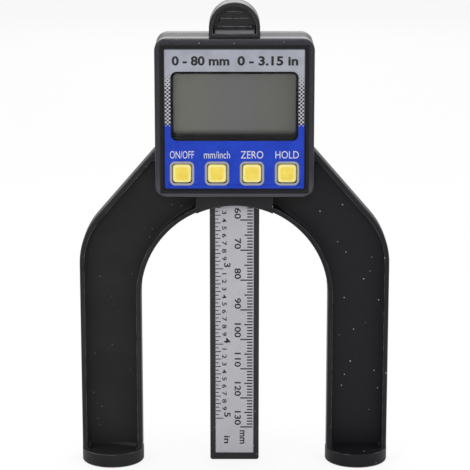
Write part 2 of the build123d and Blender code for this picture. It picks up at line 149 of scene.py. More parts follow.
def show(name, data):
    """Put a new object into the scene."""
    made = bpy.data.objects.new(name, data)
    scene.collection.objects.link(made)
    return made


camera = show("camera", bpy.data.cameras.new("camera"))
camera.location = camera_eye
camera.rotation_euler = (camera_tilt, 0.0, 0.0)
camera.data.lens = camera_lens
camera.data.sensor_width = sensor_width
camera.data.shift_x = axis_shift / picture_width
scene.camera = camera

for lamp_name, lamp in lamps.items():
    light = bpy.data.lights.new(lamp_name, "AREA")
    light.size = lamp["side"]
    light.energy = lamp["watts"]
    stand = show(lamp_name, light)
    stand.location = lamp["place"]
    stand.rotation_euler = (lamp_aim - stand.location).to_track_quat("-Z", "Y").to_euler()

scene.world = bpy.data.worlds.new("white_room")
scene.world.use_nodes = True
room = Nodes(scene.world.node_tree)
room_shader = room.tree.nodes["Background"]
room_shader.inputs["Color"].default_value = room_white
seen = sum(room.node("ShaderNodeLightPath", {}, {}, ray)
           for ray in ("Is Camera Ray", "Is Glossy Ray", "Is Transmission Ray"))
room_strength = room_light + (seen > 0.5) * (1 - room_light)
room.tree.links.new(room_strength.socket, room_shader.inputs["Strength"])

floor_mesh = bpy.data.meshes.new("floor")
floor_mesh.from_pydata([(x * floor_half, y * floor_half, -floor_drop)
                        for x, y in ((-1, -1), (1, -1), (1, 1), (-1, 1))], [], [(0, 1, 2, 3)])
floor = show("floor", floor_mesh)
pale_floor = bpy.data.materials.new("pale_floor")
pale_floor.use_nodes = True
floor_mesh.materials.append(pale_floor)
pale = Nodes(pale_floor.node_tree)
pale.tree.nodes.clear()
from_camera = pale.node("ShaderNodeLightPath", {}, {}, "Is Camera Ray")
matt = pale.node("ShaderNodeBsdfDiffuse", {}, {"Color": floor_white})
glow = pale.node("ShaderNodeEmission", {}, {"Strength": glow_strength})
mixed = pale.node("ShaderNodeMixShader", {}, {0: from_camera * glow_share, 1: matt, 2: glow})
pale.node("ShaderNodeOutputMaterial", {}, {"Surface": mixed})


# Frame: one moulding in black ABS, an arch on two channelled legs whose round feet stand proud.
# It is left as it comes from the mould, with a fine spark-eroded grain, and it holds pale dust. Its
# rounded edges are paled partly by rub wear and partly by a painted highlight, and a painted shade
# darkens its right side.

frame_edge = 0.14 * mm
frame_blacks = ("#161617", "#1f1f20")
shaded_right_black = "#111016"
wear_and_highlight_grey = "#7c7c80"
scuffed_grey = "#5c5a68"
dust_white = "#c9c9c6"
cloud_size = 16.0
wear_and_highlight_size = 4.0
scuff_size = 0.8
grain_depth = 0.012
dust_cell = 3.2
dust_radius = 0.24
dust_patch = 9.0
dust_height = 1.5
dust_and_shade_left, dust_and_shade_right = -20.0, 30.0
weld_gap = 0.05 * mm
flat_turn = math.radians(0.6)
bevel_turn = math.radians(40)
smooth_turn = math.radians(38)
bevel_steps = 2
fold_turn = math.radians(150)
fold_rounds = 2
weak_face, strong_face = -16384, 16384
broad_area = 4.0 * mm * mm


def tint(code):
    """A colour from its six-digit code, in the linear values that shaders use."""
    parts = [int(code[place:place + 2], 16) / 255 for place in (1, 3, 5)]
    return (*Color(parts).from_srgb_to_scene_linear(), 1.0)


class Finish(Nodes):
    """A surface finish round one Principled shader, measured in millimetres on the object."""

    def __init__(self, name, uniform):
        self.material = bpy.data.materials.new(name)
        self.material.use_nodes = True
        super().__init__(self.material.node_tree)
        self.shader = self.tree.nodes["Principled BSDF"]
        for socket, value in uniform.items():
            self.shader.inputs[socket].default_value = value
        place = self.node("ShaderNodeTexCoord", {}, {}, "Object")
        self.place = self.node("ShaderNodeVectorMath", {"operation": "SCALE"},
                               {0: place, "Scale": 1 / mm})
        self.x, self.y, self.z = [
            self.node("ShaderNodeSeparateXYZ", {}, {0: self.place}, axis) for axis in "XYZ"]

    def stretched(self, *scales):
        """The place on the object with each axis scaled, for grain that runs one way."""
        return self.node("ShaderNodeVectorMath", {"operation": "MULTIPLY"},
                         {0: self.place, 1: scales})

    def noise(self, size, detail=2.0, place=None):
        """Cloudy noise from 0 to 1, with blotches of about that size."""
        return self.node("ShaderNodeTexNoise", {},
                         {"Vector": place or self.place, "Scale": 1 / size, "Detail": detail})

    def specks(self, cell, radius):
        """Round specks, one to a cell: 1 in a speck and 0 around it."""
        distance = self.node("ShaderNodeTexVoronoi", {}, {"Vector": self.place, "Scale": 1 / cell})
        return 1 - (distance * cell).rise(radius * 0.6, radius)

    def attribute(self, name):
        """A value that the mesh carries."""
        return self.node("ShaderNodeAttribute", {"attribute_name": name}, {}, "Fac")

    def mix(self, share, *colours):
        """One colour turning into another; each is a code or a signal. The Mix node keeps its
        two colours at sockets 6 and 7 and gives the mixed one at output 2."""
        first, second = [tint(colour) if isinstance(colour, str) else colour for colour in colours]
        return self.node("ShaderNodeMix", {"data_type": "RGBA"}, {0: share, 6: first, 7: second}, 2)

    def give(self, socket, signal):
        """Feed a signal to the shader."""
        self.tree.links.new(signal.socket, self.shader.inputs[socket])

    def paint_over(self, share, colour):
        """Lay one more colour over those given so far."""
        so_far = self.shader.inputs["Base Color"].links[0].from_socket
        self.give("Base Color", self.mix(share, Signal(self, so_far), colour))

    def relief(self, height, depth):
        """Raise the surface by up to a depth in millimetres."""
        self.give("Normal", self.node("ShaderNodeBump", {},
                                      {"Height": height, "Distance": depth * mm}))

    def cover(self, *pieces):
        """Put the finish on every slot of some pieces."""
        for piece in pieces:
            if not piece.material_slots:
                piece.data.materials.append(self.material)
            for slot in piece.material_slots:
                slot.material = self.material


def moulded_black(name, blacks, grain, shine, roughness, dust, wear_and_highlight=0.5, scuffs=0.0,
                  right_shade_black=shaded_right_black):
    """Black moulding: fine grain, cloudy gloss, edges paled by rub wear and a painted highlight, dust
    that gathers to the right, and a painted shade that tints the right side darker and bluer.
    """
    finish = Finish(name, {"Specular IOR Level": shine})
    cloud = finish.noise(cloud_size)
    fine = finish.noise(grain, 3.0)
    # The same left-to-right ramp gathers the dust and sets the painted shade.
    side = finish.x.rise(dust_and_shade_left, dust_and_shade_right)
    dusty = finish.specks(dust_cell, dust_radius) * finish.noise(dust_patch).rise(0.36, 0.5)
    dusty = dusty * (0.2 + side * 0.8) * dust
    # Rub wear and a painted highlight pale the rounded edges.
    rubbed = finish.attribute("rubbed") * finish.noise(wear_and_highlight_size, 5.0).rise(0.3, 0.75) * wear_and_highlight
    scuffed = finish.noise(scuff_size, 5.0).rise(0.45, 0.72) * scuffs
    body = finish.mix(cloud.rise(0.3, 0.7), *blacks)
    # Painted shade: toward the right the black turns to a shaded, bluer black.
    body = finish.mix(side * 0.8, body, right_shade_black)
    body = finish.mix(scuffed, body, scuffed_grey)
    body = finish.mix(rubbed, body, wear_and_highlight_grey)
    finish.give("Base Color", finish.mix(dusty, body, dust_white))
    finish.give("Roughness", roughness + cloud * 0.10 + fine * 0.08)
    finish.relief(fine + dusty * dust_height, grain_depth)
    return finish


def shut_folds(shape, edge):
    """Where edges rounded by that size fold over themselves in a crowded corner, shut the
    shortest side of the fold."""
    for _ in range(fold_rounds):
        folded = [min(fold.link_faces, key=lambda face: face.calc_area())
                  for fold in shape.edges if fold.calc_face_angle(0) > fold_turn]
        for face in folded:
            side = min(face.edges, key=lambda side: side.calc_length())
            if side.calc_length() < 2 * edge:
                side.verts[0].co = side.verts[1].co = (side.verts[0].co + side.verts[1].co) / 2
        shape.normal_update()


def dressed(node, name, edge):
    """A copy of a CAD piece with its triangles joined and its sharp outer edges rounded. Broad
    flats are marked strong and the rounding weak, so that the flats are shaded flat."""
    shape = bmesh.new()
    shape.from_mesh(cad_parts[node].data)
    bmesh.ops.remove_doubles(shape, verts=shape.verts, dist=weld_gap)
    bmesh.ops.dissolve_limit(shape, angle_limit=flat_turn, verts=shape.verts, edges=shape.edges)
    rubbed = shape.faces.layers.float.new("rubbed")
    strength = shape.faces.layers.int.new("__mod_weightednormals_faceweight")
    outer = [corner for corner in shape.edges if corner.calc_face_angle_signed(0) > bevel_turn]
    rounded = bmesh.ops.bevel(shape, geom=outer, offset=edge, offset_type="OFFSET",
                              segments=bevel_steps, profile=0.5, affect="EDGES",
                              clamp_overlap=False, loop_slide=False)
    # The rounded strips are marked for pale rub wear and a painted highlight along the edges.
    for face in rounded["faces"]:
        face[rubbed] = 1.0
        face[strength] = weak_face
    for face in shape.faces:
        if len(face.verts) > 4 and face.calc_area() > broad_area:
            face[strength] = strong_face
    bmesh.ops.triangulate(shape, faces=shape.faces, ngon_method="EAR_CLIP")
    shut_folds(shape, edge)
    low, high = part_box(node)
    for corner in shape.verts:
        corner.co = [min(max(at, start), end) for at, start, end in zip(corner.co, low, high)]
    mesh = bpy.data.meshes.new(name)
    shape.to_mesh(mesh)
    shape.free()
    mesh.shade_smooth()
    mesh.set_sharp_from_angle(angle=smooth_turn)
    piece = show(name, mesh)
    even = piece.modifiers.new("even_shading", "WEIGHTED_NORMAL")
    even.keep_sharp = True
    even.use_face_influence = True
    return piece


def fit(piece, body, node):
    """Let a piece ride on a body and stand for a CAD node, which is hidden."""
    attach(piece, body)
    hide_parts(node)


frame_plastic = moulded_black("black_abs", frame_blacks, grain=0.5, shine=0.2, roughness=0.36,
                              dust=1.0)
arch = dressed("frame", "arch_moulding", frame_edge)
frame_plastic.cover(arch)
fit(arch, "root", "frame")


# Foot magnets: nickel-plated discs pressed into the soles, flush with the plastic.
# The plating is bright, with a faint haze and fine turning marks.

haze_grey = "#8b8c8e"
haze_size = 3.0
scratch_size = 0.5
scratch_depth = 0.006


def plated(name, colour, roughness, stretch):
    """Plated or bare metal, with fine scratches that run along an axis with a low stretch."""
    finish = Finish(name, {"Metallic": 1.0})
    scratches = finish.noise(scratch_size, 3.0, finish.stretched(*stretch))
    haze = finish.noise(haze_size)
    finish.give("Base Color", finish.mix(haze.rise(0.3, 0.75), colour, haze_grey))
    finish.give("Roughness", roughness + scratches * 0.18 + haze * 0.08)
    finish.relief(scratches, scratch_depth)
    return finish


nickel = plated("bright_nickel", "#c9cacb", roughness=0.18, stretch=(1.0, 0.15, 1.0))
nickel.cover(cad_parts["foot_magnets"])


# Rule: a flat steel bar with a sunk front, painted black, which slides through the head.
# Its long edges are a little pale, partly from rub wear where they run in the guide and partly from a
# painted highlight.

rule_edge = 0.12 * mm
rule_blacks = ("#1c1c1e", "#28282a")

rule_black = moulded_black("black_rule", rule_blacks, grain=0.4, shine=0.3, roughness=0.30, dust=0.5)
beam = dressed("rule_beam", "rule_bar", rule_edge)
rule_black.cover(beam)
fit(beam, "rule", "rule_beam")


# Measuring strip: green glass laminate with etched copper bars, glued into the sunk front of the
# rule and hidden by the scale plate. The measuring chip reads its bars.

bar_pitch = 5.08
laminate_green = "#1c5a34"
bar_copper = "#8a6a2e"


def stripes(along, pitch, start, end, soft):
    """Stripes across one axis, one to a pitch: 1 from start to end and 0 between."""
    within = along % pitch
    return within.rise(start, start + soft) - within.rise(end, end + soft)


laminate = Finish("green_laminate", {"Coat Weight": 0.4, "Coat Roughness": 0.15})
copper_bars = stripes(laminate.z, bar_pitch, start=2.3, end=4.6, soft=0.4)
weave = laminate.noise(0.6, 3.0)
laminate.give("Base Color", laminate.mix(copper_bars * 0.8, laminate_green, bar_copper))
laminate.give("Roughness", 0.35 + weave * 0.2)
laminate.relief(copper_bars * 2.0 + weave, 0.01)
laminate.cover(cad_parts["scale_strip"])


# Leaf spring: a bowed strip of bare spring steel, laid in a slot beside the rule.
# It takes up the rule's side play, and the grain of its rolling runs along it.

spring_steel = plated("spring_steel", "#a7a9ab", roughness=0.28, stretch=(1.0, 1.0, 0.1))
spring_steel.cover(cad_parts["gib_spring"])


# Scale plate: thin satin aluminium let into the bar, lacquered and printed in dark ink.
# Millimetres run down its right edge and inches down its left, both from the same zero.

plate_low, plate_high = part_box("scale_plate")
zero_drop = 1.75 * mm
scale_zero = plate_high.z - zero_drop
ink_depth = 0.02 * mm
ink_sink = 0.005 * mm
plate_ink = plate_low.y - ink_depth / 2 + ink_sink
bold = 0.02
letter_steps = 4
metric_range = 130
metric_step = 10
metric_edge = plate_high.x - 0.30 * mm
metric_sizes = {"Count": metric_range + 1, "Pitch": 1.0 * mm, "Middle Every": 5,
                "Long Every": metric_step, "Short": 1.8 * mm, "Middle": 2.7 * mm,
                "Long": 4.0 * mm, "Side": -1.0, "Line Width": 0.43 * mm}
metric_column = 1.05 * mm
inch = 25.4 * mm
inch_range = 5
inch_steps = 20
inch_edge = plate_low.x + 0.05 * mm
inch_sizes = {"Count": inch_range * inch_steps + 1, "Pitch": inch / inch_steps,
              "Middle Every": 2, "Long Every": inch_steps, "Short": 1.0 * mm,
              "Middle": 1.7 * mm, "Long": 2.5 * mm, "Side": 1.0, "Line Width": 0.3 * mm}
inch_column = -2.35 * mm
digit_width = 1.82 * mm
digit_height = 2.1 * mm
digit_lift = 0.35 * mm
tenth_column = -3.3 * mm
tenth_width = 1.35 * mm
tenth_height = 1.45 * mm
tenth_lift = 0.2 * mm
unit_words = {"mm": {"x": 2.5 * mm, "z": 7.7 * mm, "width": 4.7 * mm, "height": 1.6 * mm},
              "in": {"x": -2.5 * mm, "z": 6.8 * mm, "width": 2.6 * mm, "height": 1.9 * mm}}


class Pattern(Nodes):
    """A geometry tree with named sizes, run on a few places and kept as one plain mesh."""

    def __init__(self, name, sizes):
        super().__init__(bpy.data.node_groups.new(name, "GeometryNodeTree"))
        face = self.tree.interface
        face.new_socket("Places", in_out="INPUT", socket_type="NodeSocketGeometry")
        self.sockets = {
            size: face.new_socket(size, in_out="INPUT", socket_type="NodeSocket" + kind).identifier
            for size, kind in {**sizes, "Material": "Material"}.items()}
        face.new_socket("Mesh", in_out="OUTPUT", socket_type="NodeSocketGeometry")
        self.entry = self.tree.nodes.new("NodeGroupInput")
        self.exit = self.tree.nodes.new("NodeGroupOutput")

    def size(self, name):
        """The signal of a named size."""
        return Signal(self, self.entry.outputs[name])

    def moved(self, geometry, x, y, z):
        """A geometry shifted along each axis."""
        return self.node("GeometryNodeTransform", {},
                         {"Geometry": geometry, "Translation": vector(self, x, y, z)})

    def end(self, instances):
        """Make the instances real, give them their material and close the tree."""
        real = self.node("GeometryNodeRealizeInstances", {}, {0: instances})
        painted = self.node("GeometryNodeSetMaterial", {},
                            {"Geometry": real, "Material": self.size("Material")})
        self.tree.links.new(painted.socket, self.exit.inputs["Mesh"])

    def grow(self, name, places, sizes, finish):
        """Run the tree at some places and keep the result."""
        seeds = bpy.data.meshes.new(name)
        seeds.from_pydata(places, [], [])
        piece = show(name, seeds)
        growth = piece.modifiers.new("growth", "NODES")
        growth.node_group = self.tree
        for size, value in {**sizes, "Material": finish.material}.items():
            growth[self.sockets[size]] = value
        bpy.context.view_layer.update()
        ready = piece.evaluated_get(bpy.context.evaluated_depsgraph_get())
        grown = bpy.data.meshes.new_from_object(ready)
        piece.modifiers.clear()
        piece.data = grown
        grown.name = name
        return piece


def vector(nodes, x, y, z):
    """A vector from three values or signals."""
    return nodes.node("ShaderNodeCombineXYZ", {}, {0: x, 1: y, 2: z})


graduation = Pattern("graduation", {
    "Count": "Int", "Pitch": "Float", "Middle Every": "Int", "Long Every": "Int",
    "Short": "Float", "Middle": "Float", "Long": "Float", "Side": "Float",
    "Line Width": "Float", "Ink Depth": "Float"})
spots = graduation.node("GeometryNodeMeshLine", {"mode": "OFFSET"}, {
    "Count": graduation.size("Count"),
    "Offset": vector(graduation, 0.0, 0.0, graduation.size("Pitch") * -1.0)})
index = graduation.node("GeometryNodeInputIndex", {}, {})
is_middle = (index % graduation.size("Middle Every")) < 0.5
is_long = (index % graduation.size("Long Every")) < 0.5
reach = graduation.size("Short")
reach = reach + is_middle * (graduation.size("Middle") - graduation.size("Short"))
reach = reach + is_long * (graduation.size("Long") - graduation.size("Middle"))
stroke = graduation.node("GeometryNodeMeshCube", {}, {"Size": (1.0, 1.0, 1.0)})
stroke = graduation.moved(stroke, graduation.size("Side") * 0.5, 0.0, 0.0)
strokes = graduation.node("GeometryNodeInstanceOnPoints", {}, {
    "Points": spots, "Instance": stroke,
    "Scale": vector(graduation, reach, graduation.size("Ink Depth"),
                    graduation.size("Line Width"))})
graduation.end(graduation.node("GeometryNodeInstanceOnPoints", {},
                               {"Points": graduation.size("Places"), "Instance": strokes}))


def cast(words, weight):
    """Letters as a mesh, with the two corners of their box."""
    block = show("block", bpy.data.curves.new("block", "FONT"))
    block.data.body = words
    block.data.extrude = 0.5
    block.data.offset = weight
    block.data.resolution_u = letter_steps
    bpy.context.view_layer.update()
    ready = block.evaluated_get(bpy.context.evaluated_depsgraph_get())
    letters = bpy.data.meshes.new_from_object(ready)
    bpy.data.objects.remove(block)
    low = Vector(map(min, *(v.co for v in letters.vertices)))
    high = Vector(map(max, *(v.co for v in letters.vertices)))
    return letters, low, high


def stamp(ink, words, middle, width, height, turned=False, weight=bold):
    """Add printed letters to an ink mesh, with the middle of their box at a place. A number is
    stretched as a row of zeros that fills the width would be."""
    letters, low, high = cast(words, weight)
    zeros, room_low, room_high = cast("0" * len(words) if words.isdigit() else words, weight)
    room = room_high - room_low
    stretch = Matrix.Diagonal((width / room.x, height / room.y, ink_depth, 1.0))
    turn = Matrix.Rotation(math.radians(-90), 4, "Z") if turned else Matrix.Identity(4)
    letters.transform(Matrix.Translation(middle) @ Matrix.Rotation(math.radians(90), 4, "X")
                      @ turn @ stretch @ Matrix.Translation(-(low + high) / 2))
    ink.from_mesh(letters)
    bpy.data.meshes.remove(zeros)
    bpy.data.meshes.remove(letters)


def finished(name, shape, finish):
    """Turn a worked shape into a piece with its finish."""
    mesh = bpy.data.meshes.new(name)
    shape.to_mesh(mesh)
    shape.free()
    piece = show(name, mesh)
    finish.cover(piece)
    return piece


satin = Finish("satin_aluminium", {"Specular IOR Level": 0.4})
brushed = satin.noise(0.35, 4.0, satin.stretched(1.0, 1.0, 0.12))
patches = satin.noise(7.0)
satin.give("Base Color", satin.mix(brushed * 0.45 + patches * 0.5, "#a0a0a6", "#bcbbc0"))
satin.give("Metallic", 0.1 + patches * 0.15)
satin.give("Roughness", 0.42 + brushed * 0.2)
satin.relief(brushed, 0.005)
satin.cover(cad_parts["scale_plate"])

dark_ink = Finish("dark_ink", {"Specular IOR Level": 0.3})
worn = dark_ink.noise(0.8, 3.0)
dark_ink.give("Base Color", dark_ink.mix(worn.rise(0.35, 0.8), "#0d0d10", "#2a2a2e"))
dark_ink.give("Roughness", 0.45 + worn * 0.2)

for name, edge, sizes in (("metric_marks", metric_edge, metric_sizes),
                          ("inch_marks", inch_edge, inch_sizes)):
    lines = graduation.grow(name, [(edge, plate_ink, scale_zero)],
                            {**sizes, "Ink Depth": ink_depth}, dark_ink)
    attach(lines, "rule")

metric_ink = bmesh.new()
for value in range(metric_step, metric_range + 1, metric_step):
    length = len(str(value)) * digit_width
    height = scale_zero - value * mm + digit_lift + length / 2
    stamp(metric_ink, str(value), Vector((metric_column, plate_ink, height)), length,
          digit_height, turned=True)

inch_ink = bmesh.new()
for tenth in range(1, inch_range * 10 + 1):
    mark = scale_zero - tenth * inch / 10
    whole, part = divmod(tenth, 10)
    if part:
        stamp(inch_ink, str(part), Vector((tenth_column, plate_ink,
              mark + tenth_lift + tenth_width / 2)), tenth_width, tenth_height, turned=True)
    else:
        stamp(inch_ink, str(whole), Vector((inch_column, plate_ink,
              mark + digit_lift + digit_width / 2)), digit_width, digit_height, turned=True)

for (word, size), ink in zip(unit_words.items(), (metric_ink, inch_ink)):
    stamp(ink, word, Vector((size["x"], plate_ink, size["z"])), size["width"], size["height"],
          turned=True)

for name, ink in (("metric_numbers", metric_ink), ("inch_numbers", inch_ink)):
    numbers = finished(name, ink, dark_ink)
    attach(numbers, "rule")


# Finger tab: a hooded half-round moulding in black ABS that lifts the rule, with three ridges for the
# nail. A painted highlight pales the crests of the ridges inside its hood.

tab_edge = 0.10 * mm
tab_blacks = ("#0b0b0d", "#141417")
tab_low, tab_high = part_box("finger_tab")
tab_middle = (tab_high.z - (tab_high.x - tab_low.x) / 2) / mm
crest_highlight_grey = "#8c8c90"
crest_reach = 6.0
crest_blend = 3.0
crest_start = tab_low.y / mm + 5.5
crest_full = crest_start + 0.1
crest_fade = crest_start + 0.4
crest_end = crest_start + 0.8

tab_black = moulded_black("black_tab", tab_blacks, grain=0.35, shine=0.35, roughness=0.24,
                          dust=0.8, wear_and_highlight=0.9)
# Painted highlight in pale grey, in blotches, on the ridge crests inside the hood.
above = tab_black.z - tab_middle
inside = 1 - (tab_black.x * tab_black.x + above * above).rise(crest_reach ** 2 - crest_blend,
                                                              crest_reach ** 2)
crest_highlight = inside * (1 - tab_black.y.rise(crest_fade, crest_end))
crest_highlight = crest_highlight * tab_black.y.rise(crest_start, crest_full)
crest_highlight = crest_highlight * tab_black.noise(1.2, 4.0).rise(0.3, 0.55) * 0.8
tab_black.paint_over(crest_highlight, crest_highlight_grey)
tab = dressed("finger_tab", "finger_hood", tab_edge)
tab_black.cover(tab)
fit(tab, "rule", "finger_tab")


# Tab screws: two cross-head screws of black zinc-plated steel with rolled threads.
# They are driven from behind and hold the finger tab to the bar.

pan_diameter = 3.8 * mm
pan_height = 0.65 * mm
shank_radius = 1.0 * mm
fine_pitch = 0.45 * mm
slot_width = 0.55 * mm
slot_share = 1.15
dome_share = 0.45
ridge_share = 0.3
first_turn = 0.5
turn_step = 1.1


def threaded(pattern, radius, pitch, length):
    """A shank below the origin: a core, and one ridge wound round it that reaches the radius. The
    ridge stands on the core by a share of the pitch."""
    depth = pitch * ridge_share
    core = pattern.node("GeometryNodeMeshCylinder", {}, {
        "Vertices": 24, "Radius": radius - depth, "Depth": length})
    helix = pattern.node("GeometryNodeSetCurveNormal", {"mode": "Z_UP"}, {
        "Curve": pattern.node("GeometryNodeCurveSpiral", {}, {
            "Resolution": 16, "Rotations": length / pitch, "Height": length,
            "Start Radius": radius - depth, "End Radius": radius - depth})})
    ridge = pattern.node("GeometryNodeCurvePrimitiveCircle", {}, {"Resolution": 4, "Radius": depth})
    thread = pattern.node("GeometryNodeCurveToMesh", {}, {
        "Curve": helix, "Profile Curve": ridge, "Fill Caps": True})
    return pattern.node("GeometryNodeJoinGeometry", {}, {0: [
        pattern.moved(core, 0.0, 0.0, length * -0.5), pattern.moved(thread, 0.0, 0.0, length * -1.0)]})


screw = Pattern("cross_head_screw", {
    "Head Radius": "Float", "Head Height": "Float", "Shank Radius": "Float",
    "Shank Length": "Float", "Slot Width": "Float", "Thread Pitch": "Float",
    "Heading": "Float", "Turn Step": "Float"})
head_radius = screw.size("Head Radius")
head_height = screw.size("Head Height")
blank = screw.node("GeometryNodeMeshCylinder", {"fill_type": "TRIANGLE_FAN"}, {
    "Vertices": 40, "Fill Segments": 5, "Radius": head_radius, "Depth": head_height})
spot = screw.node("GeometryNodeInputPosition", {}, {})
spot_x, spot_y, spot_z = [screw.node("ShaderNodeSeparateXYZ", {}, {0: spot}, axis)
                          for axis in "XYZ"]
fall = ((spot_x * spot_x + spot_y * spot_y) / (head_radius * head_radius)
        * head_height * -dome_share)
domed = screw.node("GeometryNodeSetPosition", {}, {
    "Geometry": blank, "Selection": spot_z > 0.0, "Offset": vector(screw, 0.0, 0.0, fall)})
slot_length = head_radius * slot_share
cross = [
    screw.moved(screw.node("GeometryNodeMeshCube", {}, {
        "Size": vector(screw, wide, deep, head_height)}), 0.0, 0.0, head_height * 0.5)
    for wide, deep in ((slot_length, screw.size("Slot Width")),
                       (screw.size("Slot Width"), slot_length))]
crossed = screw.node("GeometryNodeMeshBoolean", {"operation": "DIFFERENCE"},
                     {"Mesh 1": domed, "Mesh 2": cross})
seated = screw.moved(crossed, 0.0, 0.0, head_height * 0.5)
shank = threaded(screw, screw.size("Shank Radius"), screw.size("Thread Pitch"),
                 screw.size("Shank Length"))
whole_screw = screw.node("GeometryNodeTransform", {}, {
    "Geometry": screw.node("GeometryNodeJoinGeometry", {}, {0: [seated, shank]}),
    "Rotation": (math.radians(-90), 0.0, 0.0)})
number = screw.node("GeometryNodeInputIndex", {}, {})
screw.end(screw.node("GeometryNodeInstanceOnPoints", {}, {
    "Points": screw.size("Places"), "Instance": whole_screw,
    "Rotation": vector(screw, 0.0, number * screw.size("Turn Step") + first_turn,
                       screw.size("Heading"))}))


def drive(node, body, finish, head, pitch, from_behind=True):
    """Fit cross-head screws in place of a node's plain ones, which lie at the corners of its box
    and have heads of one height. They are driven from behind or from the front."""
    low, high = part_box(node)
    inset = pan_diameter / 2
    rows = sorted({round(low.z + inset, 6), round(high.z - inset, 6)})
    under_head = high.y - head if from_behind else low.y + head
    tip = low.y if from_behind else high.y
    places = [(x, under_head, z) for x in (low.x + inset, high.x - inset) for z in rows]
    group = screw.grow("cross_" + node, places, {
        "Head Radius": pan_diameter / 2, "Head Height": head, "Shank Radius": shank_radius,
        "Shank Length": abs(under_head - tip), "Slot Width": slot_width,
        "Thread Pitch": pitch, "Heading": 0.0 if from_behind else math.pi,
        "Turn Step": turn_step}, finish)
    group.data.shade_smooth()
    group.data.set_sharp_from_angle(angle=smooth_turn)
    fit(group, body, node)


black_zinc = plated("black_zinc", "#3a3b3e", roughness=0.34, stretch=(1.0, 1.0, 1.0))
drive("tab_screws", "rule", black_zinc, pan_height, fine_pitch)


# Circuit board: glass laminate under green lacquer, with the measuring chip and four steel-covered
# push switches soldered on. Two short zinc-plated screws hold it to the frame from the front.

across_pitch = 1.4
along_pitch = 1.9
track_sizes = {"start": 0.1, "end": 0.45, "soft": 0.1}
track_greens = ("#12502c", "#2a7a45")
epoxy_blacks = ("#1a1a1a", "#222222")

lacquer = Finish("green_board", {"Coat Weight": 0.5, "Coat Roughness": 0.12})
across = stripes(lacquer.x, across_pitch, **track_sizes)
along = stripes(lacquer.z, along_pitch, **track_sizes)
choice = lacquer.noise(6.0).rise(0.49, 0.51)
tracks = across * choice + along * (1 - choice)
lacquer.give("Base Color", lacquer.mix(tracks, *track_greens))
lacquer.give("Roughness", 0.3 + lacquer.noise(2.0) * 0.15)
lacquer.relief(tracks, 0.03)
lacquer.cover(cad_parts["circuit_board"])

epoxy = moulded_black("black_epoxy", epoxy_blacks, grain=0.3, shine=0.3, roughness=0.5, dust=0.0)
epoxy.cover(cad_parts["measuring_chip"])

tinned_steel = plated("tinned_steel", "#b4b5b6", roughness=0.3, stretch=(1.0, 1.0, 0.3))
tinned_steel.cover(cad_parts["button_switches"])

zinc = plated("bright_zinc", "#b9bcc0", roughness=0.25, stretch=(1.0, 1.0, 1.0))
drive("board_screws", "root", zinc, pan_height, fine_pitch, from_behind=False)


# Button cell: a nickel-plated steel can between two sprung leaves of plated bronze.
# A plus mark stands a hair proud of the can's flat face.

plus_size = 2.6 * mm
plus_stroke = 0.45 * mm
plus_proud = 0.03 * mm
cell_low, cell_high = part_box("button_cell")
plus_place = Vector(((cell_low.x + cell_high.x) / 2, cell_high.y, (cell_low.z + cell_high.z) / 2))

cell_metal = plated("cell_nickel", "#cfd0d0", roughness=0.2, stretch=(1.0, 1.0, 0.2))
cell_metal.cover(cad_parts["button_cell"])
bronze = plated("plated_bronze", "#c9b27c", roughness=0.28, stretch=(1.0, 0.2, 1.0))
bronze.cover(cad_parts["cell_contact_plus"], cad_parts["cell_contact_minus"])

plus_mark = bmesh.new()
for wide, tall in ((plus_size, plus_stroke), (plus_stroke, plus_size)):
    bmesh.ops.create_cube(plus_mark, size=1.0, matrix=Matrix.Translation(plus_place)
                          @ Matrix.Diagonal((wide, 2 * plus_proud, tall, 1.0)))
plus = finished("cell_plus", plus_mark, cell_metal)
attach(plus, "root")


# Front case: the square bezel round the face, moulded in the same black ABS with a finer grain.
# Its edges are softly rounded, with rub wear and a painted highlight; a painted reflection pales its
# lower rim, and a painted shade darkens a lip round the sheet.

case_edge = 0.12 * mm
case_blacks = ("#29282d", "#302f35")
case_shaded_right_black = "#2b2a32"
low_rim_reflection_grey = "#5c5a61"
lip_shade_black = "#0b0b0d"
sheet_low, sheet_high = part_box("label_sheet")
face_middle = (sheet_low.z + sheet_high.z) / 2 / mm
lip_width = 1.2
lip_blend = 0.3
lip_side = sheet_high.x / mm + lip_width
lip_end = (sheet_high.z - sheet_low.z) / 2 / mm + lip_width
low_rim_reflection_height = 8.0

case_black = moulded_black("black_case", case_blacks, grain=0.32, shine=0.2, roughness=0.25,
                           dust=1.4, wear_and_highlight=0.6, scuffs=0.12, right_shade_black=case_shaded_right_black)
above = case_black.z - face_middle
past_lip = (abs(case_black.x).rise(lip_side - lip_blend, lip_side + lip_blend)
            + abs(above).rise(lip_end - lip_blend, lip_end + lip_blend))
# Painted reflection of the pale floor on the bezel's lower rim.
low_rim_reflection = past_lip * (1 - above.rise(-lip_end, low_rim_reflection_height - lip_end))
case_black.paint_over(low_rim_reflection * 0.4, low_rim_reflection_grey)
# Painted shade: a near-black lip round the sheet, where the recess is shaded.
case_black.paint_over((1 - past_lip) * 0.95, lip_shade_black)
bezel = dressed("front_case", "front_bezel", case_edge)
case_black.cover(bezel)
fit(bezel, "root", "front_case")


# Face sheet: polycarbonate printed from behind in silver and blue, with dots between the two.
# A low grey collar is raised round each key. The words are in pale ink and the range in dark ink.

